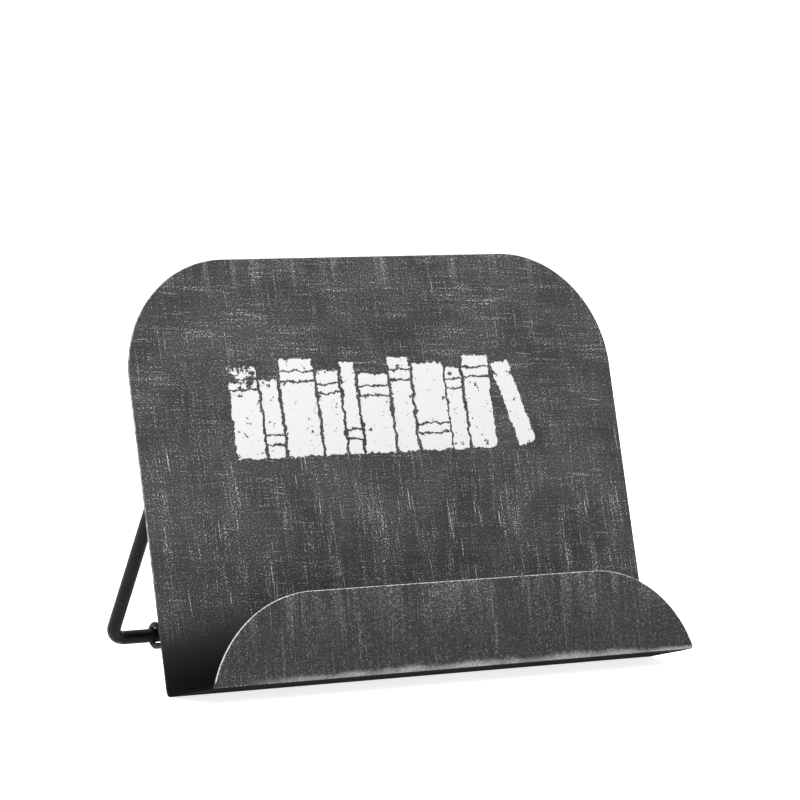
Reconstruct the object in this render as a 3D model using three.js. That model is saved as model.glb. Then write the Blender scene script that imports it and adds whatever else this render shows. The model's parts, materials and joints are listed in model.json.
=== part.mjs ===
// Book display stand: one folded steel sheet leaning on a hinged wire leg, with a wire stay that
// ties the foot of the leg to the lower back of the sheet.
// Millimetres. +Z is up, the sheet faces -Y, +X is the stand's right-hand side seen from the front.
import * as THREE from 'three';

// Folded sheet. The panel, the ledge, the lip and the fold radii are measured on the sheet's middle
// surface, the first three between the sharp corners that they would have without their folds.
const SHEET_WIDTH = 250;
const SHEET_THICKNESS = 1;
const PANEL_HEIGHT = 190;
const LEDGE_DEPTH = 38.6;
const LIP_HEIGHT = 37.5;
const CORNER_RADIUS = 53;
const REAR_FOLD_RADIUS = 2.2;
const FRONT_FOLD_RADIUS = 1.2;
const PANEL_TILT = THREE.MathUtils.degToRad(15.2);
const LEDGE_ANGLE = THREE.MathUtils.degToRad(91.8);
const LIP_ANGLE = THREE.MathUtils.degToRad(93.2);
const CORNER_STEPS = 14;
const FOLD_STEPS = 8;
const SHORTEST_STEP = 0.2;

// Wire leg: a U with its ends turned in along the hinge axis.
const LEG_DIAMETER = 6.4;
const LEG_WIDTH = 173.4;
const LEG_BEND_RADIUS = 7;
const LEG_SPREAD = THREE.MathUtils.degToRad(31.7);
const LEG_TIP_X = 55;

// Hinge sleeves: short tubes welded along the sheet's back.
const SLEEVE_HEIGHT = 148;
const SLEEVE_CENTRE_X = 68.8;
const SLEEVE_LENGTH = 20;
const SLEEVE_WALL = 1.2;
const RUNNING_CLEARANCE = 0.3;
const WELD_GAP = 0.3;

// Wire stay: a U with an eye bent at each end.
const STAY_DIAMETER = 2.8;
const STAY_WIDTH = 127;
const STAY_BEND_RADIUS = 4;
const EYE_SWEEP = THREE.MathUtils.degToRad(292);
const EYE_STEPS = 20;

// Hooks: bent straps welded low on the sheet's back, open downward over the stay's front bar.
const HOOK_WIDTH = 12;
const HOOK_CENTRE_X = 42;
const HOOK_THICKNESS = 1.2;
const HOOK_BEND_RADIUS = 0.8;
const HOOK_BEND_STEPS = 3;
const HOOK_TOP = 38;
const HOOK_LIP_DROP = 3.2;
const STAY_BAR_HEIGHT = 22;
const STAY_BAR_STANDOFF = 3.6;

const ROD_BEND_STEPS = 8;
const LEG_SIDES = 16;
const STAY_SIDES = 12;
const SLEEVE_SIDES = 32;

// Derived sizes, used by more than one piece.
const BACK_FACE = SHEET_THICKNESS / 2;
const SLEEVE_BORE_RADIUS = LEG_DIAMETER / 2 + RUNNING_CLEARANCE;
const SLEEVE_OUTER_RADIUS = SLEEVE_BORE_RADIUS + SLEEVE_WALL;
const HINGE_STANDOFF = BACK_FACE + WELD_GAP + SLEEVE_OUTER_RADIUS;
const EYE_RADIUS = LEG_DIAMETER / 2 + RUNNING_CLEARANCE + STAY_DIAMETER / 2;
const REAR_FOLD_SETBACK = REAR_FOLD_RADIUS / Math.tan(LEDGE_ANGLE / 2);
const FRONT_FOLD_SETBACK = FRONT_FOLD_RADIUS / Math.tan(LIP_ANGLE / 2);

const DISTRESSED_CHARCOAL = {
  name: 'distressed_charcoal',
  color: 0x464445,
  roughness: 0.6,
  metalness: 0.2,
};
const SATIN_BLACK = { name: 'satin_black', color: 0x232323, roughness: 0.4, metalness: 0.4 };

function namedMesh(name, geometry, finish) {
  const mesh = new THREE.Mesh(geometry, new THREE.MeshStandardMaterial(finish));
  mesh.name = name;
  return mesh;
}

// The sheet's profile, seen from the side in the panel's own frame: Y is behind the panel and Z is
// up along it. Each stretch starts at a distance along the sheet from the panel's top edge; it is
// straight where turn is 0, and otherwise an arc.
function sheetProfile() {
  const stretches = [];
  let end = { start: 0, y: 0, z: PANEL_HEIGHT, heading: -Math.PI / 2 };
  const add = (length, turn) => {
    const stretch = { ...end, length, turn };
    stretches.push(stretch);
    const next = pointOnStretch(stretch, length);
    end = { start: stretch.start + length, y: next.y, z: next.z, heading: next.heading };
  };
  add(PANEL_HEIGHT - REAR_FOLD_SETBACK, 0);
  add((Math.PI - LEDGE_ANGLE) * REAR_FOLD_RADIUS, LEDGE_ANGLE - Math.PI);
  add(LEDGE_DEPTH - REAR_FOLD_SETBACK - FRONT_FOLD_SETBACK, 0);
  add((Math.PI - LIP_ANGLE) * FRONT_FOLD_RADIUS, LIP_ANGLE - Math.PI);
  add(LIP_HEIGHT - FRONT_FOLD_SETBACK, 0);
  return stretches;
}

function pointOnStretch(stretch, distance) {
  const { y, z, heading, length, turn } = stretch;
  if (turn === 0) {
    return { y: y + distance * Math.cos(heading), z: z + distance * Math.sin(heading), heading };
  }
  const radius = length / turn;
  const turned = heading + distance / radius;
  return {
    y: y + radius * (Math.sin(turned) - Math.sin(heading)),
    z: z - radius * (Math.cos(turned) - Math.cos(heading)),
    heading: turned,
  };
}

// Half the flat blank's width, at a distance from its nearer end.
function blankHalfWidth(distance) {
  const short = Math.max(0, CORNER_RADIUS - distance);
  return SHEET_WIDTH / 2 - CORNER_RADIUS + Math.sqrt(CORNER_RADIUS ** 2 - short ** 2);
}

// Distances from the blank's end at which its rounded corner is cut into even steps.
function cornerStops() {
  return Array.from({ length: CORNER_STEPS + 1 }, (_, step) => {
    const angle = (Math.PI / 2) * (step / CORNER_STEPS);
    return CORNER_RADIUS * (1 - Math.cos(angle));
  });
}

// Distances along the sheet at which its cross-section is placed.
function sheetStops(profile, blankLength) {
  const foldStops = profile.flatMap(({ start, length, turn }) => {
    const steps = turn === 0 ? 1 : FOLD_STEPS;
    return Array.from({ length: steps }, (_, step) => start + (length * step) / steps);
  });
  const corners = cornerStops();
  return [...foldStops, ...corners, ...corners.map((distance) => blankLength - distance)]
    .sort((a, b) => a - b)
    .filter((stop, i, all) => i === 0 || stop - all[i - 1] > SHORTEST_STEP);
}

// The sheet: a rectangular cross-section, as wide as the blank is at each stop, carried along the
// folded profile.
function sheetGeometry() {
  const profile = sheetProfile();
  const lipStretch = profile[profile.length - 1];
  const blankLength = lipStretch.start + lipStretch.length;
  const stops = sheetStops(profile, blankLength);
  const sectionCorners = 4;
  const positions = [];
  const triangles = [];
  stops.forEach((along) => {
    const stretch = profile.findLast(({ start }) => start <= along);
    const { y, z, heading } = pointOnStretch(stretch, along - stretch.start);
    const halfWidth = blankHalfWidth(Math.min(along, blankLength - along));
    const offsetY = -Math.sin(heading) * SHEET_THICKNESS / 2;
    const offsetZ = Math.cos(heading) * SHEET_THICKNESS / 2;
    positions.push(-halfWidth, y + offsetY, z + offsetZ, halfWidth, y + offsetY, z + offsetZ);
    positions.push(halfWidth, y - offsetY, z - offsetZ, -halfWidth, y - offsetY, z - offsetZ);
  });
  const lastSection = sectionCorners * (stops.length - 1);
  for (let section = 0; section < lastSection; section += sectionCorners) {
    for (let side = 0; side < sectionCorners; side += 1) {
      const a = section + side;
      const b = section + ((side + 1) % sectionCorners);
      triangles.push(a, b, b + sectionCorners, a, b + sectionCorners, a + sectionCorners);
    }
  }
  triangles.push(0, 2, 1, 0, 3, 2);
  triangles.push(lastSection, lastSection + 1, lastSection + 2);
  triangles.push(lastSection, lastSection + 2, lastSection + 3);
  const geometry = new THREE.BufferGeometry();
  geometry.setAttribute('position', new THREE.Float32BufferAttribute(positions, 3));
  geometry.setIndex(triangles);
  geometry.computeVertexNormals();
  return geometry;
}

// A path that ExtrudeGeometry samples exactly at its stations, so that a straight stretch takes one
// step and a bend takes as many as it is given.
class StationPath extends THREE.Curve {
  constructor(stations) {
    super();
    this.stations = stations;
  }

  stationAt(u) {
    return this.stations[Math.round(u * (this.stations.length - 1))];
  }

  getPointAt(u, target = new THREE.Vector3()) {
    return target.copy(this.stationAt(u).point);
  }

  getTangentAt(u, target = new THREE.Vector3()) {
    return target.copy(this.stationAt(u).tangent);
  }
}

function rodGeometry(stations, diameter, sides) {
  const section = new THREE.Shape().absarc(0, 0, diameter / 2, 0, 2 * Math.PI);
  return new THREE.ExtrudeGeometry(section, {
    curveSegments: sides / 2,
    steps: stations.length - 1,
    extrudePath: new StationPath(stations),
  });
}

// Stations round one bend of a rod that runs from one point, past a corner, to another.
function bendStations(from, corner, to, radius) {
  const along = new THREE.Vector3().subVectors(corner, from).normalize();
  const onward = new THREE.Vector3().subVectors(to, corner).normalize();
  const turn = along.angleTo(onward);
  const inward = onward.clone().addScaledVector(along, -along.dot(onward)).normalize();
  const start = corner.clone().addScaledVector(along, -radius * Math.tan(turn / 2));
  const centre = start.clone().addScaledVector(inward, radius);
  return Array.from({ length: ROD_BEND_STEPS + 1 }, (_, step) => {
    const angle = (turn * step) / ROD_BEND_STEPS;
    return {
      point: centre.clone()
        .addScaledVector(inward, -radius * Math.cos(angle))
        .addScaledVector(along, radius * Math.sin(angle)),
      tangent: new THREE.Vector3()
        .addScaledVector(along, Math.cos(angle))
        .addScaledVector(inward, Math.sin(angle)),
    };
  });
}

// Completes a rod from its left half, which ends heading along +X.
function withMirrorImage(leftHalf) {
  const rightHalf = leftHalf.map(({ point, tangent }) => ({
    point: new THREE.Vector3(-point.x, point.y, point.z),
    tangent: new THREE.Vector3(tangent.x, -tangent.y, -tangent.z),
  }));
  return [...leftHalf, ...rightHalf.reverse()];
}

// The leg in its own frame: the hinge axis is X and the leg hangs down to the foot bar.
function legGeometry(length) {
  const tip = new THREE.Vector3(-LEG_TIP_X, 0, 0);
  const shoulder = new THREE.Vector3(-LEG_WIDTH / 2, 0, 0);
  const ankle = new THREE.Vector3(-LEG_WIDTH / 2, 0, -length);
  const middle = new THREE.Vector3(0, 0, -length);
  const leftHalf = [
    { point: tip, tangent: new THREE.Vector3(-1, 0, 0) },
    ...bendStations(tip, shoulder, ankle, LEG_BEND_RADIUS),
    ...bendStations(shoulder, ankle, middle, LEG_BEND_RADIUS),
  ];
  return rodGeometry(withMirrorImage(leftHalf), LEG_DIAMETER, LEG_SIDES);
}

// The stay in its own frame: the foot bar's axis is X and the arms run forward, along -Y, from the
// lowest point of each eye.
function stayGeometry(armLength) {
  const side = -STAY_WIDTH / 2;
  const eye = Array.from({ length: EYE_STEPS + 1 }, (_, step) => {
    const angle = -Math.PI / 2 + EYE_SWEEP * (1 - step / EYE_STEPS);
    return {
      point: new THREE.Vector3(side, EYE_RADIUS * Math.cos(angle), EYE_RADIUS * Math.sin(angle)),
      tangent: new THREE.Vector3(0, Math.sin(angle), -Math.cos(angle)),
    };
  });
  const armStart = new THREE.Vector3(side, 0, -EYE_RADIUS);
  const corner = new THREE.Vector3(side, -armLength, -EYE_RADIUS);
  const middle = new THREE.Vector3(0, -armLength, -EYE_RADIUS);
  const leftHalf = [...eye, ...bendStations(armStart, corner, middle, STAY_BEND_RADIUS)];
  return rodGeometry(withMirrorImage(leftHalf), STAY_DIAMETER, STAY_SIDES);
}

function sleeveGeometry() {
  const profile = [
    new THREE.Vector2(SLEEVE_BORE_RADIUS, -SLEEVE_LENGTH / 2),
    new THREE.Vector2(SLEEVE_OUTER_RADIUS, -SLEEVE_LENGTH / 2),
    new THREE.Vector2(SLEEVE_OUTER_RADIUS, SLEEVE_LENGTH / 2),
    new THREE.Vector2(SLEEVE_BORE_RADIUS, SLEEVE_LENGTH / 2),
    new THREE.Vector2(SLEEVE_BORE_RADIUS, -SLEEVE_LENGTH / 2),
  ];
  return new THREE.LatheGeometry(profile, SLEEVE_SIDES).rotateZ(-Math.PI / 2);
}

// A hook's strap from the side: flat against the sheet at the top, then out over the stay's bar and
// down behind it. Measured from the sheet's back face, at the height of the bar.
function hookGeometry() {
  const saddle = STAY_DIAMETER / 2 + RUNNING_CLEARANCE;
  const flangeOuter = WELD_GAP + HOOK_THICKNESS;
  const bendX = flangeOuter + HOOK_BEND_RADIUS;
  const bendY = saddle + HOOK_THICKNESS + HOOK_BEND_RADIUS;
  const top = HOOK_TOP - STAY_BAR_HEIGHT;
  const lipInner = STAY_BAR_STANDOFF + saddle;
  const strap = new THREE.Shape();
  strap.moveTo(flangeOuter, top);
  strap.lineTo(WELD_GAP, top);
  strap.absarc(bendX, bendY, HOOK_BEND_RADIUS + HOOK_THICKNESS, Math.PI, 1.5 * Math.PI, false);
  strap.absarc(STAY_BAR_STANDOFF, 0, saddle, Math.PI / 2, 0, true);
  strap.lineTo(lipInner, -HOOK_LIP_DROP);
  strap.lineTo(lipInner + HOOK_THICKNESS, -HOOK_LIP_DROP);
  strap.absarc(STAY_BAR_STANDOFF, 0, saddle + HOOK_THICKNESS, 0, Math.PI / 2, false);
  strap.absarc(bendX, bendY, HOOK_BEND_RADIUS, 1.5 * Math.PI, Math.PI, true);
  const sideways = new THREE.Matrix4().makeBasis(
    new THREE.Vector3(0, 1, 0),
    new THREE.Vector3(0, 0, 1),
    new THREE.Vector3(1, 0, 0),
  );
  const extrusion = { depth: HOOK_WIDTH, bevelEnabled: false, curveSegments: HOOK_BEND_STEPS };
  return new THREE.ExtrudeGeometry(strap, extrusion)
    .translate(0, 0, -HOOK_WIDTH / 2)
    .applyMatrix4(sideways);
}

// Everything that is one with the sheet, in the panel's own frame.
function buildPanel() {
  const panel = new THREE.Group();
  panel.add(namedMesh('sheet_body', sheetGeometry(), DISTRESSED_CHARCOAL));
  [['left', -1], ['right', 1]].forEach(([name, side]) => {
    const sleeve = namedMesh(`hinge_sleeve_${name}`, sleeveGeometry(), SATIN_BLACK);
    sleeve.position.set(side * SLEEVE_CENTRE_X, HINGE_STANDOFF, SLEEVE_HEIGHT);
    const hook = namedMesh(`stay_hook_${name}`, hookGeometry(), SATIN_BLACK);
    hook.position.set(side * HOOK_CENTRE_X, BACK_FACE, STAY_BAR_HEIGHT);
    panel.add(sleeve, hook);
  });
  panel.rotation.x = -PANEL_TILT;
  return panel;
}

// A point of the panel's frame in the stand's frame.
function inStand(panel, behind, up) {
  return new THREE.Vector3(0, behind, up).applyEuler(panel.rotation).add(panel.position);
}

function buildStand() {
  const stand = new THREE.Group();
  stand.name = 'book_display_stand';
  const panel = buildPanel();
  const foldCentreRise = REAR_FOLD_SETBACK * Math.cos(PANEL_TILT) + REAR_FOLD_RADIUS * Math.sin(PANEL_TILT);
  panel.position.z = REAR_FOLD_RADIUS + SHEET_THICKNESS / 2 - foldCentreRise;

  const hinge = inStand(panel, HINGE_STANDOFF, SLEEVE_HEIGHT);
  const footBarHeight = EYE_RADIUS + STAY_DIAMETER / 2;
  const legLength = (hinge.z - footBarHeight) / Math.cos(LEG_SPREAD);
  const leg = namedMesh('rear_leg', legGeometry(legLength), SATIN_BLACK);
  leg.position.copy(hinge);
  leg.rotation.x = LEG_SPREAD;

  const footBar = hinge.clone();
  footBar.y += legLength * Math.sin(LEG_SPREAD);
  footBar.z = footBarHeight;
  const stayBar = inStand(panel, BACK_FACE + STAY_BAR_STANDOFF, STAY_BAR_HEIGHT);
  const reach = footBar.distanceTo(stayBar);
  const armLength = Math.sqrt(reach ** 2 - EYE_RADIUS ** 2);
  const stay = namedMesh('prop_stay', stayGeometry(armLength), SATIN_BLACK);
  stay.position.copy(footBar);
  stay.rotation.x = -Math.asin((stayBar.z - footBar.z) / reach) - Math.asin(EYE_RADIUS / reach);

  stand.add(panel, leg, stay);
  const box = new THREE.Box3().setFromObject(stand, true);
  stand.position.y = -(box.min.y + box.max.y) / 2;
  return stand;
}

export default buildStand();
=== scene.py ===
import json
import math

import bmesh
import bpy
import numpy as np
from mathutils import Matrix, Vector


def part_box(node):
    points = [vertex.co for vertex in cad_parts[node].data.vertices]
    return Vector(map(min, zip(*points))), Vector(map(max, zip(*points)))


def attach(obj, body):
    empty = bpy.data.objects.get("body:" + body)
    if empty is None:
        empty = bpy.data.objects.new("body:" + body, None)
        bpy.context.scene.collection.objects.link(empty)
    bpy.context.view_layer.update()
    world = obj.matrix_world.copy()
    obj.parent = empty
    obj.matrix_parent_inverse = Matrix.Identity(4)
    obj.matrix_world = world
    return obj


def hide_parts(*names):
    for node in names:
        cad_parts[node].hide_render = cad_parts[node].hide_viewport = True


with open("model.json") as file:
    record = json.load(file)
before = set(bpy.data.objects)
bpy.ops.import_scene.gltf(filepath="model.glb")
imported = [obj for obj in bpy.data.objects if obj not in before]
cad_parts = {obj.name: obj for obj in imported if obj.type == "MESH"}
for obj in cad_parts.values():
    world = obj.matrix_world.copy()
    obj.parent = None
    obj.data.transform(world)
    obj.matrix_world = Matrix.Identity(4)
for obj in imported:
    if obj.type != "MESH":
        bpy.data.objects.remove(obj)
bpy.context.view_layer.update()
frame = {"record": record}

MM = 0.001
DEG = math.pi / 180

# ---------------------------------------------------------------- sizes that the looks repeat
SHEET_THICKNESS = 1.0 * MM
PANEL_HEIGHT = 190.0 * MM
LEDGE_DEPTH = 38.6 * MM
LIP_HEIGHT = 37.5 * MM
CORNER_RADIUS = 53.0 * MM
REAR_FOLD_RADIUS = 2.2 * MM
FRONT_FOLD_RADIUS = 1.2 * MM
PANEL_TILT = 15.2 * DEG
LEDGE_ANGLE = 91.8 * DEG
LIP_ANGLE = 93.2 * DEG
LEG_SPREAD = 31.7 * DEG
LEG_BEND_RADIUS = 7.0 * MM
LEG_RADIUS = 3.2 * MM
LEG_TIP_X = 55.0 * MM
SLEEVE_HEIGHT = 148.0 * MM
SLEEVE_WALL = 1.2 * MM
RUNNING_CLEARANCE = 0.3 * MM
WELD_GAP = 0.3 * MM
WIRE_RADIUS = 1.4 * MM
STAY_BEND_RADIUS = 4.0 * MM
EYE_SWEEP = 292.0 * DEG
HOOK_THICKNESS = 1.2 * MM
HOOK_BEND_RADIUS = 0.8 * MM
HOOK_TOP = 38.0 * MM
HOOK_LIP_DROP = 3.2 * MM
STAY_BAR_HEIGHT = 22.0 * MM
STAY_BAR_STANDOFF = 3.6 * MM
# Round pieces stay this far inside the CAD's flat-sided ones.
FACET_ALLOWANCE = 0.01 * MM
# Vertices closer than this are one vertex.
MERGE_DISTANCE = 1e-7

# ---------------------------------------------------------------- sizes of the finer details
SHEET_EDGE_ROUND = 0.26 * MM
HOOK_EDGE_ROUND = 0.22 * MM
SLEEVE_EDGE_ROUND = 0.1 * MM
SLEEVE_MOUTH_CHAMFER = 0.3 * MM
ROD_END_ROUND = 0.18
LEG_STATION_SPACING = 12 * MM
STAY_STATION_SPACING = 8 * MM
WELD_SPACING = 10.2 * MM
BEAD_RADIUS = 1.25 * MM
BEAD_HALF_LENGTH = 3.4 * MM
BEAD_STANDOFF = 0.45 * MM
BEAD_RIPPLES = 5
BEAD_RIPPLE_DEPTH = 0.09
BEAD_END_SIZE = 0.02
HOOK_WELD_SPACING = 6.0 * MM
HOOK_WELD_HEIGHT = 32.5 * MM
HOOK_WELD_RADIUS = 1.9 * MM
HOOK_WELD_RISE = 0.45 * MM
HOOK_WELD_SINK = 0.2 * MM

# The print on the panel: (width, height, middle of the striped band) of each book spine.
PRINTED_BOOKS = [
    (14 * MM, 41 * MM, 33 * MM), (9 * MM, 35 * MM, 8 * MM), (17 * MM, 44 * MM, 36 * MM),
    (11 * MM, 38 * MM, 30 * MM), (7 * MM, 42 * MM, 9 * MM), (15 * MM, 36 * MM, 28 * MM),
    (10 * MM, 43 * MM, 35 * MM), (16 * MM, 40 * MM, 10 * MM), (8 * MM, 37 * MM, 30 * MM),
    (13 * MM, 43 * MM, 35 * MM),
]
PRINT_GAP = 1.6 * MM
PRINT_LEFT = -77 * MM
PRINT_WIDTH = sum(width + PRINT_GAP for width, _, _ in PRINTED_BOOKS) + PRINT_GAP
PRINT_FOOT = 89.5 * MM
LEANING_SIZE = (9 * MM, 39 * MM)
LEANING_ANGLE = -15 * DEG
LEANING_FOOT = (70 * MM, 0.0, 0.0)

# ---------------------------------------------------------------- places read from the frame
BACK_FACE = SHEET_THICKNESS / 2
SLEEVE_BORE = LEG_RADIUS + RUNNING_CLEARANCE
SLEEVE_RADIUS = SLEEVE_BORE + SLEEVE_WALL
HINGE_STANDOFF = BACK_FACE + WELD_GAP + SLEEVE_RADIUS
EYE_RADIUS = LEG_RADIUS + RUNNING_CLEARANCE + WIRE_RADIUS
JOINT_PLACES = {joint["name"]: Vector(joint["pos_m"]) for joint in frame["record"]["behaviour"]["joints"]}
HINGE = JOINT_PLACES["leg_fold"]
FOOT_BAR = JOINT_PLACES["stay_swing"]
SHEET_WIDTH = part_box("sheet_body")[1][0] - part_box("sheet_body")[0][0]
LEG_HALF_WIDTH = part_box("rear_leg")[1][0] - LEG_RADIUS
STAY_HALF_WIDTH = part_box("prop_stay")[1][0] - WIRE_RADIUS
SLEEVE_CENTRE_X = (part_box("hinge_sleeve_right")[0][0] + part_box("hinge_sleeve_right")[1][0]) / 2

# The panel's own frame: Y is behind the panel, Z is up along it, from the corner of its fold.
PANEL_TURN = Matrix.Rotation(-PANEL_TILT, 4, "X")
PANEL_FRAME = (
    Matrix.Translation(HINGE - PANEL_TURN @ Vector((0, HINGE_STANDOFF, SLEEVE_HEIGHT))) @ PANEL_TURN
)
LEG_FRAME = Matrix.Translation(HINGE) @ Matrix.Rotation(LEG_SPREAD, 4, "X")
STAY_BAR = PANEL_FRAME @ Vector((0, BACK_FACE + STAY_BAR_STANDOFF, STAY_BAR_HEIGHT))


# ---------------------------------------------------------------- mesh helpers
def new_object(name, mesh):
    """Puts a mesh, light or camera in the scene."""
    made = bpy.data.objects.new(name, mesh)
    bpy.context.scene.collection.objects.link(made)
    return made


def mesh_from(name, vertices, faces, place=Matrix.Identity(4)):
    """A piece with outward faces, its vertices moved by the place matrix."""
    mesh = bpy.data.meshes.new(name)
    mesh.from_pydata([tuple(place @ Vector(v)) for v in vertices], [], faces)
    shell = bmesh.new()
    shell.from_mesh(mesh)
    bmesh.ops.remove_doubles(shell, verts=shell.verts, dist=MERGE_DISTANCE)
    bmesh.ops.recalc_face_normals(shell, faces=shell.faces)
    shell.to_mesh(mesh)
    shell.free()
    return new_object(name, mesh)


def apply_modifiers(piece):
    """Turns the piece's modifiers into real geometry."""
    graph = bpy.context.evaluated_depsgraph_get()
    applied = bpy.data.meshes.new_from_object(piece.evaluated_get(graph), depsgraph=graph)
    piece.modifiers.clear()
    piece.data = applied


def round_edges(piece, width, segments=3, angle=35 * DEG):
    """Rounds every edge sharper than the angle, and shades the faces between them as flat."""
    for polygon in piece.data.polygons:
        polygon.use_smooth = True
    bevel = piece.modifiers.new("bevel", "BEVEL")
    bevel.width = width
    bevel.segments = segments
    bevel.limit_method = "ANGLE"
    bevel.angle_limit = angle
    bevel.harden_normals = True
    piece.modifiers.new("normals", "WEIGHTED_NORMAL").keep_sharp = True
    apply_modifiers(piece)


def rounded_ends(stations, radius):
    """(point, tangent, radius) along a rod, with its sawn ends broken by a small round."""
    (first, first_way), (last, last_way) = stations[0], stations[-1]
    steps = 4
    edge = ROD_END_ROUND * radius
    rings = [(point, way, radius) for point, way in stations[1:-1]]
    for step in range(steps + 1):
        angle = step / steps * math.pi / 2
        inset = edge * (1 - math.sin(angle))
        ring = radius - edge * (1 - math.cos(angle))
        rings.insert(0, (first + first_way * inset, first_way, ring))
        rings.append((last - last_way * inset, last_way, ring))
    return rings


def sweep(name, rings, place, sides):
    """A closed round piece through (centre, tangent, radius) rings, carried without twisting."""
    across = rings[0][1].orthogonal().normalized()
    vertices = []
    for index, (point, way, ring_radius) in enumerate(rings):
        if index:
            across = rings[index - 1][1].rotation_difference(way) @ across
        across = (across - way * across.dot(way)).normalized()
        up = way.cross(across)
        for side in range(sides):
            angle = 2 * math.pi * side / sides
            vertices.append(point + (across * math.cos(angle) + up * math.sin(angle)) * ring_radius)
    faces = [tuple(range(sides)), tuple(range(len(vertices) - sides, len(vertices)))]
    for ring in range(len(rings) - 1):
        for side in range(sides):
            a = ring * sides + side
            b = ring * sides + (side + 1) % sides
            faces.append((a, b, b + sides, a + sides))
    piece = mesh_from(name, vertices, faces, place)
    for polygon in piece.data.polygons:
        polygon.use_smooth = len(polygon.vertices) == 4
    return piece


def rod(name, stations, radius, place, sides=32):
    """A round rod through (point, tangent) stations."""
    return sweep(name, rounded_ends(stations, radius - FACET_ALLOWANCE), place, sides)


def joined(name, pieces):
    """One piece made of several closed shells."""
    shell = bmesh.new()
    for piece in pieces:
        shell.from_mesh(piece.data)
        bpy.data.objects.remove(piece)
    mesh = bpy.data.meshes.new(name)
    shell.to_mesh(mesh)
    shell.free()
    return new_object(name, mesh)


def bend(before, corner, after, radius, steps=14):
    """Stations round the bend of a rod that runs from one point, past a corner, to another."""
    along = (corner - before).normalized()
    onward = (after - corner).normalized()
    turn = along.angle(onward)
    inward = (onward - along * along.dot(onward)).normalized()
    centre = corner - along * radius * math.tan(turn / 2) + inward * radius
    stations = []
    for step in range(steps + 1):
        angle = turn * step / steps
        point = centre + (along * math.sin(angle) - inward * math.cos(angle)) * radius
        stations.append((point, along * math.cos(angle) + inward * math.sin(angle)))
    return stations


def subdivide(stations, spacing):
    """Adds stations on the straight stretches, no further apart than the spacing."""
    filled = [stations[0]]
    for (start, _), (end, way) in zip(stations, stations[1:]):
        extra = int((end - start).length / spacing)
        filled += [(start.lerp(end, (i + 1) / (extra + 1)), way) for i in range(extra)]
        filled.append((end, way))
    return filled


def with_mirror_image(left):
    """The left half's stations, carried on through their mirror image to the right."""
    right = [
        (Vector((-point.x, point.y, point.z)), Vector((way.x, -way.y, -way.z)))
        for point, way in reversed(left)
    ]
    return left + right


# ---------------------------------------------------------------- the folded sheet
def sheet_stretches():
    """The folded profile, from the panel's top edge: (start, length, turn, y, z, heading)."""
    rear = REAR_FOLD_RADIUS / math.tan(LEDGE_ANGLE / 2)
    front = FRONT_FOLD_RADIUS / math.tan(LIP_ANGLE / 2)
    plan = [
        (PANEL_HEIGHT - rear, 0),
        ((math.pi - LEDGE_ANGLE) * REAR_FOLD_RADIUS, LEDGE_ANGLE - math.pi),
        (LEDGE_DEPTH - rear - front, 0),
        ((math.pi - LIP_ANGLE) * FRONT_FOLD_RADIUS, LIP_ANGLE - math.pi),
        (LIP_HEIGHT - front, 0),
    ]
    stretches = []
    start, y, z, heading = 0.0, 0.0, PANEL_HEIGHT, -math.pi / 2
    for length, turn in plan:
        stretches.append((start, length, turn, y, z, heading))
        y, z, heading = on_stretch(stretches[-1], length)
        start += length
    return stretches


def on_stretch(stretch, distance):
    """The point and heading at a distance along one straight or curved stretch."""
    _, length, turn, y, z, heading = stretch
    if turn == 0:
        return y + distance * math.cos(heading), z + distance * math.sin(heading), heading
    radius = length / turn
    turned = heading + distance / radius
    return (
        y + radius * (math.sin(turned) - math.sin(heading)),
        z - radius * (math.cos(turned) - math.cos(heading)),
        turned,
    )


STRETCHES = sheet_stretches()
BLANK_LENGTH = STRETCHES[-1][0] + STRETCHES[-1][1]
REAR_FOLD = STRETCHES[1][0] + STRETCHES[1][1] / 2
FRONT_FOLD = STRETCHES[3][0] + STRETCHES[3][1] / 2


def on_sheet(down):
    """The profile point and heading at a distance down the blank from the panel's top edge."""
    rounding_error = 1e-9
    stretch = [s for s in STRETCHES if s[0] <= down + rounding_error][-1]
    return on_stretch(stretch, down - stretch[0])


def blank_half_width(down):
    """Half the blank's width, which narrows round its four equal corners."""
    distance = min(down, BLANK_LENGTH - down)
    short = max(0.0, CORNER_RADIUS - distance)
    return SHEET_WIDTH / 2 - CORNER_RADIUS + math.sqrt(max(0.0, CORNER_RADIUS**2 - short**2))


def sheet_zone_stops(start, end, turn):
    """Distances down the blank where a zone's outline needs a point."""
    corner_steps = 40
    fold_steps = 14
    corners = [
        CORNER_RADIUS * (1 - math.cos(step / corner_steps * math.pi / 2))
        for step in range(corner_steps + 1)
    ]
    stops = {start, end}
    stops.update(d for d in corners if start < d < end)
    stops.update(BLANK_LENGTH - d for d in corners if start < BLANK_LENGTH - d < end)
    if turn:
        stops = {start + (end - start) * step / fold_steps for step in range(fold_steps + 1)}
    return sorted(stops)


def build_sheet():
    """Flat zones are single faces and folds are strips, thickened and with broken edges."""
    vertices, faces = [], []
    for start, length, turn, *_ in STRETCHES:
        stops = sheet_zone_stops(start, start + length, turn)
        groups = list(zip(stops, stops[1:])) if turn else [stops]
        for group in groups:
            outline = [(blank_half_width(d), d) for d in group]
            outline += [(-blank_half_width(d), d) for d in reversed(group)]
            first = len(vertices)
            vertices += [(x, *on_sheet(d)[:2]) for x, d in outline]
            faces.append(tuple(range(first, len(vertices))))
    piece = mesh_from("folded_sheet", vertices, faces, PANEL_FRAME)
    solidify = piece.modifiers.new("thickness", "SOLIDIFY")
    solidify.thickness = SHEET_THICKNESS - FACET_ALLOWANCE
    solidify.offset = 0
    solidify.use_even_offset = True
    apply_modifiers(piece)
    round_edges(piece, SHEET_EDGE_ROUND)
    store_blank_places(piece)
    return piece


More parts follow.
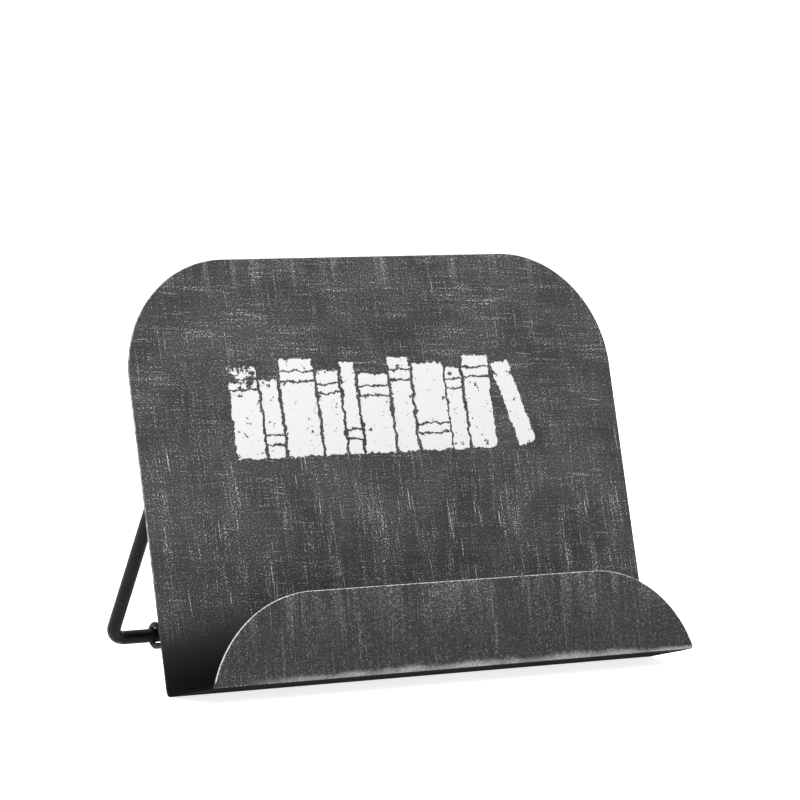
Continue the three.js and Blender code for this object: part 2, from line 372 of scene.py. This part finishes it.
def store_blank_places(piece):
    """Stores for the paint each vertex's place on the flat blank: across it, down it from the
    panel's top edge, and how far behind the middle surface it lies."""
    sample_count = 6001
    samples = np.linspace(0, BLANK_LENGTH, sample_count)
    profile = np.array([on_sheet(d) for d in samples])
    to_panel = PANEL_FRAME.inverted()
    places = []
    for vertex in piece.data.vertices:
        local = to_panel @ vertex.co
        gaps = np.hypot(profile[:, 0] - local.y, profile[:, 1] - local.z)
        near = int(gaps.argmin())
        y, z, heading = profile[near]
        behind = (local.y - y) * -math.sin(heading) + (local.z - z) * math.cos(heading)
        places.append((local.x, samples[near], behind))
    stored = piece.data.attributes.new("blank", "FLOAT_VECTOR", "POINT")
    stored.data.foreach_set("vector", np.array(places, dtype=np.float32).ravel())


# ---------------------------------------------------------------- wire and strap pieces
def build_leg():
    """The leg's U, from one turned-in tip down, across the foot bar and up to the other."""
    length = (HINGE.z - FOOT_BAR.z) / math.cos(LEG_SPREAD)
    tip = Vector((-LEG_TIP_X, 0, 0))
    shoulder = Vector((-LEG_HALF_WIDTH, 0, 0))
    ankle = Vector((-LEG_HALF_WIDTH, 0, -length))
    middle = Vector((0, 0, -length))
    left = [(tip, Vector((-1, 0, 0)))]
    left += bend(tip, shoulder, ankle, LEG_BEND_RADIUS)
    left += bend(shoulder, ankle, middle, LEG_BEND_RADIUS)
    stations = subdivide(with_mirror_image(left), LEG_STATION_SPACING)
    return rod("leg_wire", stations, LEG_RADIUS, LEG_FRAME)


def build_stay():
    """The stay's wire: an eye round the foot bar, an arm, the front bar, and the same back again."""
    reach = (STAY_BAR - FOOT_BAR).length
    arm = math.sqrt(reach**2 - EYE_RADIUS**2)
    side = -STAY_HALF_WIDTH
    eye_steps = 48
    eye = []
    for step in range(eye_steps + 1):
        angle = -math.pi / 2 + EYE_SWEEP * (1 - step / eye_steps)
        point = Vector((side, EYE_RADIUS * math.cos(angle), EYE_RADIUS * math.sin(angle)))
        eye.append((point, Vector((0, math.sin(angle), -math.cos(angle)))))
    arm_start = Vector((side, 0, -EYE_RADIUS))
    corner = Vector((side, -arm, -EYE_RADIUS))
    middle = Vector((0, -arm, -EYE_RADIUS))
    left = eye + bend(arm_start, corner, middle, STAY_BEND_RADIUS)
    rise = math.asin((STAY_BAR.z - FOOT_BAR.z) / reach) + math.asin(EYE_RADIUS / reach)
    place = Matrix.Translation(FOOT_BAR) @ Matrix.Rotation(-rise, 4, "X")
    stations = subdivide(with_mirror_image(left), STAY_STATION_SPACING)
    return rod("stay_wire", stations, WIRE_RADIUS, place, sides=24)


def lathe(name, outline, place, sides=48):
    """A closed ring of (radius, x) points turned about the X axis."""
    count = len(outline)
    vertices, faces = [], []
    for side in range(sides):
        angle = 2 * math.pi * side / sides
        vertices += [(x, r * math.cos(angle), r * math.sin(angle)) for r, x in outline]
        following = (side + 1) % sides
        for k in range(count):
            after = (k + 1) % count
            faces.append((side * count + k, side * count + after,
                          following * count + after, following * count + k))
    return mesh_from(name, vertices, faces, place)


def build_sleeve(name):
    """A tube with broken edges round both mouths."""
    low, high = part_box(name)
    half = (high[0] - low[0]) / 2
    edge = SLEEVE_MOUTH_CHAMFER
    outline = [
        (SLEEVE_BORE, half - edge), (SLEEVE_BORE + edge, half), (SLEEVE_RADIUS - edge, half),
        (SLEEVE_RADIUS, half - edge), (SLEEVE_RADIUS, edge - half), (SLEEVE_RADIUS - edge, -half),
        (SLEEVE_BORE + edge, -half), (SLEEVE_BORE, edge - half),
    ]
    centre = Vector(((low[0] + high[0]) / 2, HINGE_STANDOFF, SLEEVE_HEIGHT))
    piece = lathe(name + "_tube", outline, PANEL_FRAME @ Matrix.Translation(centre))
    round_edges(piece, SLEEVE_EDGE_ROUND, segments=2, angle=30 * DEG)
    return piece


def bead_rings(x, z):
    """The rings of one weld bead, which swells in the middle and has ripples along it."""
    steps = 28
    rings = []
    for step in range(steps + 1):
        along = -1 + 2 * step / steps
        ripple = 1 + BEAD_RIPPLE_DEPTH * math.sin(along * BEAD_RIPPLES * math.pi)
        swell = math.sqrt(max(BEAD_END_SIZE, 1 - along**2)) * ripple
        centre = Vector((x + along * BEAD_HALF_LENGTH, BACK_FACE + BEAD_STANDOFF, z))
        rings.append((centre, Vector((1, 0, 0)), BEAD_RADIUS * swell))
    return rings


def weld_places(name, spacing):
    """The two places across the sheet where a sleeve or hook is welded on."""
    low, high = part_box(name)
    middle = (low[0] + high[0]) / 2
    return middle - spacing / 2, middle + spacing / 2


def build_sleeve_welds(name):
    """Short beads in the corners between a sleeve and the sheet, above and below each weld."""
    offset = math.sqrt(SLEEVE_RADIUS**2 - (HINGE_STANDOFF - BACK_FACE) ** 2 / 4)
    beads = []
    for side in (-1, 1):
        for x in weld_places(name, WELD_SPACING):
            rings = bead_rings(x, SLEEVE_HEIGHT + side * offset)
            beads.append(sweep(name + "_bead", rings, PANEL_FRAME, sides=16))
    return joined(name + "_welds", beads)


def build_hook_welds(name):
    """Two low domes where a hook's flange is spot-welded to the sheet."""
    flange = BACK_FACE + WELD_GAP + HOOK_THICKNESS
    outward = Vector((0, 1, 0))
    steps = 8
    domes = []
    for x in weld_places(name, HOOK_WELD_SPACING):
        foot = Vector((x, flange, HOOK_WELD_HEIGHT))
        rings = [(foot - outward * HOOK_WELD_SINK, outward, HOOK_WELD_RADIUS)]
        for step in range(steps):
            angle = step / steps * math.pi / 2
            rings.append((foot + outward * HOOK_WELD_RISE * math.sin(angle), outward,
                          HOOK_WELD_RADIUS * math.cos(angle)))
        domes.append(sweep(name + "_dome", rings, PANEL_FRAME, sides=32))
    return joined(name + "_welds", domes)


def arc(centre_x, centre_y, radius, start, end, steps=10):
    """Points round an arc, from the start angle to the end angle."""
    return [
        (centre_x + radius * math.cos(start + (end - start) * step / steps),
         centre_y + radius * math.sin(start + (end - start) * step / steps))
        for step in range(steps + 1)
    ]


def hook_outline():
    """The strap's edge from the side, measured from the sheet's back and the stay bar's height."""
    saddle = WIRE_RADIUS + RUNNING_CLEARANCE
    flange = WELD_GAP + HOOK_THICKNESS
    bend_x = flange + HOOK_BEND_RADIUS
    bend_y = saddle + HOOK_THICKNESS + HOOK_BEND_RADIUS
    top = HOOK_TOP - STAY_BAR_HEIGHT
    lip = STAY_BAR_STANDOFF + saddle
    quarter = math.pi / 2
    outline = [(flange, top), (WELD_GAP, top)]
    outline += arc(bend_x, bend_y, HOOK_BEND_RADIUS + HOOK_THICKNESS, 2 * quarter, 3 * quarter)
    outline += arc(STAY_BAR_STANDOFF, 0, saddle, quarter, 0)
    outline += [(lip, -HOOK_LIP_DROP), (lip + HOOK_THICKNESS, -HOOK_LIP_DROP)]
    outline += arc(STAY_BAR_STANDOFF, 0, saddle + HOOK_THICKNESS, 0, quarter)
    outline += arc(bend_x, bend_y, HOOK_BEND_RADIUS, 3 * quarter, 2 * quarter)
    return outline


def build_hook(name):
    """A strap as wide as its box, with its outline seen from the side."""
    low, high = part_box(name)
    outline = hook_outline()
    count = len(outline)
    vertices = [(x, a, b) for x in (low[0], high[0]) for a, b in outline]
    faces = [tuple(range(count)), tuple(range(count, 2 * count))]
    faces += [(k, (k + 1) % count, count + (k + 1) % count, count + k) for k in range(count)]
    place = PANEL_FRAME @ Matrix.Translation((0, BACK_FACE, STAY_BAR_HEIGHT))
    piece = mesh_from(name + "_strap", vertices, faces, place)
    round_edges(piece, HOOK_EDGE_ROUND)
    return piece


# ---------------------------------------------------------------- materials
class Paint:
    """A material's node tree, built with short calls that each add one node."""

    def __init__(self, name):
        self.material = bpy.data.materials.new(name)
        self.material.use_nodes = True
        self.tree = self.material.node_tree
        self.shader = self.tree.nodes["Principled BSDF"]

    def link(self, source, target):
        if isinstance(source, (int, float, tuple)):
            target.default_value = source
        else:
            self.tree.links.new(source, target)

    def node(self, kind, **settings):
        made = self.tree.nodes.new(kind)
        for key, value in settings.items():
            setattr(made, key, value)
        return made

    def math(self, operation, *values, clamp=False):
        made = self.node("ShaderNodeMath", operation=operation, use_clamp=clamp)
        for value, socket in zip(values, made.inputs):
            self.link(value, socket)
        return made.outputs[0]

    def product(self, first, *others):
        for other in others:
            first = self.math("MULTIPLY", first, other)
        return first

    def total(self, first, *others):
        for other in others:
            first = self.math("ADD", first, other)
        return first

    def most(self, first, *others):
        for other in others:
            first = self.math("MAXIMUM", first, other)
        return first

    def attribute(self, name):
        return self.node("ShaderNodeAttribute", attribute_name=name).outputs["Vector"]

    def object_place(self):
        return self.node("ShaderNodeTexCoord").outputs["Object"]

    def split(self, vector):
        made = self.node("ShaderNodeSeparateXYZ")
        self.link(vector, made.inputs[0])
        return made.outputs

    def join(self, x, y, z):
        made = self.node("ShaderNodeCombineXYZ")
        for value, socket in zip((x, y, z), made.inputs):
            self.link(value, socket)
        return made.outputs[0]

    def length(self, x, y):
        """The length of the vector (x, y)."""
        made = self.node("ShaderNodeVectorMath", operation="LENGTH")
        self.link(self.join(x, y, 0.0), made.inputs[0])
        return made.outputs["Value"]

    def apart(self, first, second):
        """How far apart two values are."""
        return self.math("ABSOLUTE", self.math("SUBTRACT", first, second))

    def scaled(self, vector, scale, shift=(0.0, 0.0, 0.0)):
        made = self.node("ShaderNodeMapping")
        self.link(vector, made.inputs["Vector"])
        made.inputs["Scale"].default_value = scale
        made.inputs["Location"].default_value = shift
        return made.outputs[0]

    def turned(self, vector, angle, centre=(0.0, 0.0, 0.0)):
        made = self.node("ShaderNodeVectorRotate", rotation_type="Z_AXIS")
        self.link(vector, made.inputs["Vector"])
        made.inputs["Center"].default_value = centre
        made.inputs["Angle"].default_value = angle
        return made.outputs[0]

    def noise(self, vector, detail=2.0, roughness=0.5):
        made = self.node("ShaderNodeTexNoise")
        self.link(vector, made.inputs["Vector"])
        made.inputs["Scale"].default_value = 1.0
        made.inputs["Detail"].default_value = detail
        made.inputs["Roughness"].default_value = roughness
        return made.outputs["Fac"]

    def between(self, value, low, high, out_low=0.0, out_high=1.0):
        """Smoothly from one value to another as the input goes from low to high."""
        made = self.node("ShaderNodeMapRange", interpolation_type="SMOOTHSTEP")
        for source, key in ((value, "Value"), (low, "From Min"), (high, "From Max"),
                            (out_low, "To Min"), (out_high, "To Max")):
            self.link(source, made.inputs[key])
        return made.outputs[0]

    def blend(self, factor, first, second):
        made = self.node("ShaderNodeMix", data_type="RGBA", clamp_factor=False)
        self.link(factor, made.inputs[0])
        self.link(first, made.inputs[6])
        self.link(second, made.inputs[7])
        return made.outputs[2]

    def bump(self, height, strength, distance):
        made = self.node("ShaderNodeBump")
        made.inputs["Strength"].default_value = strength
        made.inputs["Distance"].default_value = distance
        self.link(height, made.inputs["Height"])
        self.link(made.outputs[0], self.shader.inputs["Normal"])


def warm_grey(value):
    return (value * 1.05, value * 0.96, value * 0.99, 1.0)


def grey(value):
    return (value, value, value, 1.0)


CHARCOAL_DARK, CHARCOAL_LIGHT = warm_grey(0.0215), warm_grey(0.0250)
# Painted shade: the darker charcoal for the panel's foot behind the lip, and the darkest one for the ledge.
FOLD_PAINTED_SHADE, LEDGE_PAINTED_SHADE = warm_grey(0.0065), warm_grey(0.0035)
CHALK, PRINT_INK = grey(0.42), grey(0.40)
WIRE_DARK, WIRE_LIGHT = warm_grey(0.0022), warm_grey(0.0042)
# Light grey of bare chips, also used as a painted highlight at the leg's lower bends.
CHIP_AND_GLINT_GREY = grey(0.11)


class SheetPaint(Paint):
    """Charcoal paint with white dry-brushed over it, laid out on the flat blank."""

    def __init__(self):
        super().__init__("dry_brushed_charcoal")
        self.across, self.down, self.behind = self.split(self.attribute("blank"))
        self.outer = self.math("GREATER_THAN", self.behind, 0.0)
        self.inner = self.math("SUBTRACT", 1.0, self.outer)
        side_apart = 7.3
        self.place = self.join(self.across, self.down, self.product(self.outer, side_apart))

    def grains(self, size, seed, detail=2.0, roughness=0.6):
        return self.noise(self.scaled(self.place, (1 / size, 1 / size, 1.0), (seed, -seed, 0.0)),
                          detail, roughness)

    def strokes(self, width, length, low, high, seed, tilt=0.0, detail=2.5):
        """Brush strokes down the blank, turned by the tilt: 1 in a stroke and 0 between them."""
        drawn = self.scaled(self.turned(self.place, tilt), (1 / width, 1 / length, 1.0),
                            (seed, seed, 0.0))
        return self.between(self.noise(drawn, detail, 0.6), low, high)

    def blend_value(self, factor, first, second):
        """Between two numbers, by a factor from 0 to 1."""
        rest = self.math("SUBTRACT", 1.0, factor)
        return self.total(self.product(rest, first), self.product(factor, second))

    def near_line(self, line, full, gone):
        """1 within a distance of a line across the blank, 0 beyond another."""
        return self.between(self.apart(self.down, line), full, gone, 1.0, 0.0)

    def edge_distance(self):
        """Distance in from the blank's outline, a rectangle with round corners."""
        half_x = SHEET_WIDTH / 2 - CORNER_RADIUS
        half_y = BLANK_LENGTH / 2 - CORNER_RADIUS
        x = self.math("SUBTRACT", self.math("ABSOLUTE", self.across), half_x)
        y = self.math("SUBTRACT", self.apart(self.down, BLANK_LENGTH / 2), half_y)
        past_corner = self.length(self.math("MAXIMUM", x, 0.0), self.math("MAXIMUM", y, 0.0))
        inside = self.math("MINIMUM", self.math("MAXIMUM", x, y), 0.0)
        return self.math("SUBTRACT", CORNER_RADIUS, self.total(past_corner, inside))


def brushed_white(paint, grain):
    """How much white the dry brush left on the panel, away from edges and folds."""
    sideways_amount = paint.between(paint.down, 30 * MM, 105 * MM, 1.0, 0.2)
    downward_amount = paint.between(paint.down, 70 * MM, 125 * MM, 0.25, 1.0)
    by_top_edge = paint.between(paint.down, 20 * MM, 2 * MM)

    patches = paint.between(paint.grains(34 * MM, 3.7, detail=3.0), 0.36, 0.66)
    bands_down = paint.strokes(width=7 * MM, length=50 * MM, low=0.44, high=0.72, seed=5.1)
    bands_across = paint.strokes(width=7 * MM, length=60 * MM, low=0.44, high=0.72, seed=8.6, tilt=84 * DEG)
    fringes = paint.strokes(width=6 * MM, length=90 * MM, low=0.50, high=0.66, seed=17.0)
    fringe = paint.product(fringes, by_top_edge)

    threads_down = paint.strokes(width=0.75 * MM, length=20 * MM, low=0.42, high=0.70, seed=1.3)
    threads_across = paint.strokes(width=0.75 * MM, length=26 * MM, low=0.42, high=0.70, seed=2.9,
                                   tilt=88 * DEG)
    dots = paint.between(grain, 0.46, 0.70)

    downward = paint.product(threads_down, bands_down, downward_amount, 0.85)
    sideways = paint.product(threads_across, bands_across, sideways_amount, 0.75)
    linen = paint.product(threads_down, threads_across, 0.55)
    speckle = paint.total(paint.product(patches, 0.08), paint.product(fringe, 0.22), 0.055)
    haze = paint.total(paint.product(patches, 0.016), paint.product(fringe, 0.05))
    return paint.total(haze, paint.product(dots, paint.total(downward, sideways, linen, speckle)))


def stippled_white(paint):
    """The lip's finer finish: dots in faint columns, denser and hazier towards its top edge."""
    rise = paint.between(paint.down, FRONT_FOLD + 8 * MM, BLANK_LENGTH + 4 * MM)
    columns = paint.strokes(width=6 * MM, length=60 * MM, low=0.38, high=0.70, seed=73.0)
    threads = paint.strokes(width=0.7 * MM, length=34 * MM, low=0.42, high=0.72, seed=77.0)
    dots = paint.between(paint.grains(0.55 * MM, 71.0, detail=1.0), 0.50, 0.72)
    cover = paint.total(paint.product(columns, rise, 0.30), paint.product(threads, 0.18), 0.07)
    haze = paint.total(paint.product(columns, rise, 0.03), 0.006)
    return paint.total(haze, paint.product(dots, cover))


def scratched_white(paint, grain):
    """Long sparse strokes where the brush dragged: more of them low on the panel."""
    low_down = paint.between(paint.down, 50 * MM, 110 * MM, 0.35, 1.0)
    upright = paint.strokes(width=1.0 * MM, length=26 * MM, low=0.655, high=0.74, seed=11.0,
                            tilt=1.5 * DEG, detail=1.5)
    slanted = paint.strokes(width=1.0 * MM, length=26 * MM, low=0.69, high=0.76, seed=14.0,
                            tilt=82 * DEG, detail=1.5)
    broken = paint.between(grain, 0.40, 0.62, 0.15, 1.0)
    strokes = paint.most(paint.product(upright, low_down), paint.product(slanted, 0.6))
    return paint.product(strokes, broken, 0.80)


def worn_edges(paint, grain):
    """Bare edges: bright along the lip, faint round the panel, and none beside the ledge."""
    ragged = paint.product(paint.math("SUBTRACT", grain, 0.5), 0.9 * MM)
    edge = paint.total(paint.edge_distance(), ragged)
    thin = paint.between(edge, 0.38 * MM, 0.08 * MM)
    patchy = paint.between(paint.grains(5 * MM, 21.0), 0.40, 0.60, 0.3, 1.0)
    on_panel = paint.between(paint.down, REAR_FOLD - 55 * MM, REAR_FOLD - 28 * MM, 0.60, 0.04)
    before_fold = paint.math("LESS_THAN", paint.down, REAR_FOLD)
    on_lip = paint.between(paint.down, FRONT_FOLD + 0.5 * MM, FRONT_FOLD + 3 * MM)
    return paint.product(thin, paint.most(paint.product(on_panel, before_fold, patchy),
                                          paint.product(on_lip, 0.9)))


def worn_front_fold(paint, grain):
    """The rubbed line where the ledge turns up into the lip, feathered up the lip's front."""
    above = paint.math("SUBTRACT", paint.down, FRONT_FOLD)
    uneven = paint.between(paint.grains(22 * MM, 33.0), 0.34, 0.60, 0.6, 1.0)
    ragged = paint.between(paint.grains(1.6 * MM, 35.0, detail=3.0), 0.3, 0.7, 0.65, 1.15)
    narrower_at_right = paint.between(paint.across, 72 * MM, 112 * MM, 1.0, 0.42)
    reach = paint.product(uneven, ragged, narrower_at_right, 4.0 * MM)
    fade = paint.between(paint.math("DIVIDE", above, reach), -0.15, 1.0, 1.0, 0.0)
    started = paint.between(above, -0.9 * MM, -0.2 * MM)
    away_from_left = paint.between(paint.across, -112 * MM, -86 * MM)
    broken = paint.between(grain, 0.34, 0.64, 0.55, 1.0)
    return paint.product(fade, started, away_from_left, paint.outer, uneven, broken, 0.52)


def weld_rings(paint):
    """The faint rings that the sleeves' spot welds leave on the panel's front."""
    ring_down = PANEL_HEIGHT - SLEEVE_HEIGHT
    ring_radius = 1.4 * MM
    beside = paint.apart(paint.math("ABSOLUTE", paint.across), SLEEVE_CENTRE_X)
    aside = paint.math("SUBTRACT", beside, WELD_SPACING / 2)
    from_weld = paint.length(aside, paint.math("SUBTRACT", paint.down, ring_down))
    from_ring = paint.apart(from_weld, ring_radius)
    return paint.product(paint.between(from_ring, 0.5 * MM, 0.1 * MM), paint.inner, 0.09)


def row_of_books(paint, x, rise, soft):
    """Upright book spines side by side, each with its own height and a pair of stripes."""
    tallest = 50 * MM
    stripe_offset = 2.2 * MM
    ramp = paint.node("ShaderNodeValToRGB")
    ramp.color_ramp.interpolation = "CONSTANT"
    stops = ramp.color_ramp.elements
    blank = (0.0, 0.0, 0.0, 1.0)
    along = 0.0
    for width, height, band in PRINTED_BOOKS:
        stops.new(along / PRINT_WIDTH).color = (height / tallest, band / tallest, 0.0, 1.0)
        stops.new((along + width) / PRINT_WIDTH).color = blank
        along += width + PRINT_GAP
    stops[0].color = blank
    stops[-1].color = blank
    paint.link(paint.math("DIVIDE", paint.math("SUBTRACT", x, PRINT_LEFT), PRINT_WIDTH), ramp.inputs[0])
    height, band, _ = paint.split(ramp.outputs["Color"])

    below_top = paint.math("SUBTRACT", paint.product(height, tallest), rise)
    book = paint.product(paint.between(below_top, soft, 3 * soft), paint.between(rise, -soft, soft))
    from_stripe = paint.apart(paint.apart(rise, paint.product(band, tallest)), stripe_offset)
    return paint.product(book, paint.between(from_stripe, 0.35 * MM, 0.6 * MM))


def leaning_book(paint, x, rise, soft):
    """One more spine, leaning on the right-hand end of the row."""
    turned_x, turned_rise, _ = paint.split(
        paint.turned(paint.join(x, rise, 0.0), LEANING_ANGLE, LEANING_FOOT))
    half_width, half_height = LEANING_SIZE[0] / 2, LEANING_SIZE[1] / 2
    width_gap = paint.math("SUBTRACT", paint.apart(turned_x, LEANING_FOOT[0] + half_width), half_width)
    height_gap = paint.math("SUBTRACT", paint.apart(turned_rise, half_height), half_height)
    return paint.between(paint.math("MAXIMUM", width_gap, height_gap), soft, -soft)


def unchipped(paint):
    """1 where the print is whole and 0 in its chips, with more of them at its top left corner."""
    from_corner = paint.length(paint.math("SUBTRACT", paint.across, PRINT_LEFT + 3 * MM),
                               paint.math("SUBTRACT", paint.down, PRINT_FOOT - 40 * MM))
    chips_and_glints = paint.between(from_corner, 19 * MM, 5 * MM, 0.0, 0.14)
    chipping = paint.total(paint.grains(4.5 * MM, 51.0, detail=5.0, roughness=0.7), chips_and_glints)
    chips = paint.between(chipping, 0.615, 0.63, 1.0, 0.0)
    specks = paint.between(paint.grains(1.5 * MM, 57.0, detail=2.0), 0.69, 0.71, 1.0, 0.0)
    return paint.product(chips, specks)


def shelf_print(paint):
    """A white stencil of a row of blank book spines, ragged and chipped like an old block print."""
    wobble = 5.6 * MM
    soft = 0.12 * MM
    wobble_x, wobble_y = (
        paint.math("SUBTRACT", paint.grains(5 * MM, seed, detail=4.0, roughness=0.7), 0.5)
        for seed in (41.0, 47.0)
    )
    x = paint.total(paint.across, paint.product(wobble_x, wobble))
    down = paint.total(paint.down, paint.product(wobble_y, wobble))
    rise = paint.math("SUBTRACT", PRINT_FOOT, down)
    drawn = paint.math("MAXIMUM", row_of_books(paint, x, rise, soft), leaning_book(paint, x, rise, soft))
    return paint.product(drawn, unchipped(paint), paint.inner)


def sheet_material():
    """Charcoal with painted shade in the fold and on the ledge, under brushed white, bare edges and the
    print.
    """
    paint = SheetPaint()
    grain = paint.grains(0.66 * MM, 0.0, detail=1.0, roughness=0.6)
    # Painted shade on the panel's front, full within a few mm of the fold and fading out above it.
    painted_fold_shade = paint.product(paint.near_line(REAR_FOLD, 4 * MM, 33 * MM), paint.inner)
    # The ledge zone, both faces: it gets painted shade and no brushed white.
    in_ledge = paint.product(paint.math("GREATER_THAN", paint.down, REAR_FOLD),
                             paint.math("LESS_THAN", paint.down, FRONT_FOLD - 0.6 * MM))
    out_of_reach = paint.product(paint.near_line(REAR_FOLD, 18 * MM, 40 * MM), paint.inner)
    reached = paint.math("SUBTRACT", 1.0, paint.math("MAXIMUM", out_of_reach, in_ledge))

    on_lip = paint.math("GREATER_THAN", paint.down, FRONT_FOLD)
    scratches = scratched_white(paint, grain)
    on_panel = paint.total(brushed_white(paint, grain), scratches, weld_rings(paint))
    lip_white = paint.total(stippled_white(paint), paint.product(scratches, 0.2))
    white = paint.product(paint.blend_value(on_lip, on_panel, lip_white), reached)
    white = paint.most(white, worn_edges(paint, grain), worn_front_fold(paint, grain))
    # Tone that differs at random, with the lip's base pulled darker than the panel's: painted shade.
    tone_and_lip_shade = paint.math("SUBTRACT", paint.between(paint.grains(45 * MM, 61.0), 0.3, 0.7),
                      paint.product(on_lip, 1.4))
    base = paint.blend(tone_and_lip_shade, CHARCOAL_DARK, CHARCOAL_LIGHT)
    base = paint.blend(painted_fold_shade, base, FOLD_PAINTED_SHADE)
    # Painted shade over the whole ledge.
    base = paint.blend(in_ledge, base, LEDGE_PAINTED_SHADE)
    colour = paint.blend(paint.math("MINIMUM", white, 1.0), base, CHALK)
    printed = shelf_print(paint)
    colour = paint.blend(printed, colour, PRINT_INK)
    paint.link(colour, paint.shader.inputs["Base Color"])
    paint.link(paint.between(grain, 0.3, 0.7, 0.60, 0.80), paint.shader.inputs["Roughness"])
    paint.shader.inputs["Specular IOR Level"].default_value = 0.005
    raised = paint.total(grain, white, paint.product(printed, 0.8))
    paint.bump(raised, 0.25, 0.08 * MM)
    return paint.material


def wire_material():
    """Satin black with a few chips, and light grey patches at the leg's lower bends that are partly chips
    and partly painted highlights.
    """
    paint = Paint("satin_black_paint")
    place = paint.object_place()

    def even_noise(size, shift=(0.0, 0.0, 0.0), **texture):
        return paint.noise(paint.scaled(place, (1 / size,) * 3, shift), **texture)

    mottle = even_noise(6 * MM, detail=4.0, roughness=0.6)
    specks = even_noise(0.7 * MM, detail=2.0)
    chip_noise = even_noise(3.2 * MM, (0.4, 0.0, 0.7), detail=3.0, roughness=0.7)
    across, _, height = paint.split(place)
    # At the leg's lower bends the chips gather: partly wear, partly a painted highlight.
    out_at_side = paint.between(paint.math("ABSOLUTE", across), LEG_HALF_WIDTH - 9 * MM,
                                LEG_HALF_WIDTH - 3 * MM)
    bend_chips_and_glint = paint.product(out_at_side, paint.between(height, 16 * MM, 8 * MM))
    chipped = paint.between(chip_noise, 0.60, 0.66)
    chips_and_glints = paint.product(chipped, paint.total(paint.product(bend_chips_and_glint, 0.8), 0.06))
    coat = paint.blend(paint.between(mottle, 0.35, 0.7), WIRE_DARK, WIRE_LIGHT)
    paint.link(paint.blend(chips_and_glints, coat, CHIP_AND_GLINT_GREY), paint.shader.inputs["Base Color"])
    paint.link(paint.between(mottle, 0.3, 0.7, 0.32, 0.46), paint.shader.inputs["Roughness"])
    paint.shader.inputs["Specular IOR Level"].default_value = 0.10
    paint.bump(paint.total(specks, mottle), 0.3, 0.05 * MM)
    return paint.material


# ---------------------------------------------------------------- floor, light and camera
def add_camera():
    """Looks from the stand's left, a little above it, with a long lens."""
    azimuth = 31.28 * DEG
    elevation = 4.75 * DEG
    roll = 0.43 * DEG
    distance = 1.775
    aim = Vector((0.0001, -0.03147, 0.1212))
    away = Vector((-math.sin(azimuth) * math.cos(elevation),
                   -math.cos(azimuth) * math.cos(elevation), math.sin(elevation)))
    camera = new_object("camera", bpy.data.cameras.new("camera"))
    camera.data.sensor_width = 36.0
    camera.data.lens = 180.0
    camera.data.clip_end = 50.0
    turn = away.to_track_quat("Z", "Y").to_matrix().to_4x4()
    camera.matrix_world = (Matrix.Translation(aim + away * distance) @ turn
                           @ Matrix.Rotation(roll, 4, "Z"))
    bpy.context.scene.camera = camera


def add_floor():
    """A wide pale disc that the stand rests on, and that glows enough to keep its shadow faint."""
    radius = 3.0
    sides = 96
    angles = [2 * math.pi * side / sides for side in range(sides)]
    vertices = [(radius * math.cos(angle), radius * math.sin(angle), 0) for angle in angles]
    floor = mesh_from("floor", vertices, [tuple(range(sides))])
    paint = Paint("pale_floor")
    paint.shader.inputs["Base Color"].default_value = (0.9, 0.9, 0.9, 1.0)
    paint.shader.inputs["Emission Color"].default_value = (1.0, 1.0, 1.0, 1.0)
    paint.shader.inputs["Emission Strength"].default_value = 0.8
    paint.shader.inputs["Roughness"].default_value = 0.9
    paint.shader.inputs["Specular IOR Level"].default_value = 0.1
    floor.data.materials.append(paint.material)


def add_key_light():
    """One large soft light, high to the front left and aimed at the panel."""
    place = Vector((-0.45, -0.75, 0.85))
    aim = Vector((0, -0.02, 0.08))
    light = bpy.data.lights.new("key", "AREA")
    light.shape = "RECTANGLE"
    light.size = 0.8
    light.size_y = 0.8
    light.energy = 11.0
    turn = (aim - place).normalized().to_track_quat("-Z", "Y").to_matrix().to_4x4()
    new_object("key", light).matrix_world = Matrix.Translation(place) @ turn


def add_light():
    """A white studio all round, with the key light in it."""
    world = bpy.data.worlds.new("studio")
    world.use_nodes = True
    background = world.node_tree.nodes["Background"]
    background.inputs["Color"].default_value = (1.0, 1.0, 1.0, 1.0)
    background.inputs["Strength"].default_value = 1.35
    bpy.context.scene.world = world
    add_key_light()
    view = bpy.context.scene.view_settings
    view.view_transform = "Standard"
    view.look = "None"


# ---------------------------------------------------------------- put together
def finish_piece(piece, material, body, node=None):
    """Paints a piece and ties it to its body and the CAD node that it replaces, if any."""
    piece.data.materials.clear()
    piece.data.materials.append(material)
    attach(piece, body)
    if node:
        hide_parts(node)


def main():
    add_camera()
    add_floor()
    add_light()
    charcoal = sheet_material()
    black = wire_material()
    finish_piece(build_sheet(), charcoal, "panel", "sheet_body")
    finish_piece(build_leg(), black, "leg", "rear_leg")
    finish_piece(build_stay(), black, "stay", "prop_stay")
    for side in ("left", "right"):
        sleeve = "hinge_sleeve_" + side
        hook = "stay_hook_" + side
        finish_piece(build_sleeve(sleeve), black, "panel", sleeve)
        finish_piece(build_hook(hook), black, "panel", hook)
        finish_piece(build_sleeve_welds(sleeve), black, "panel")
        finish_piece(build_hook_welds(hook), black, "panel")


main()
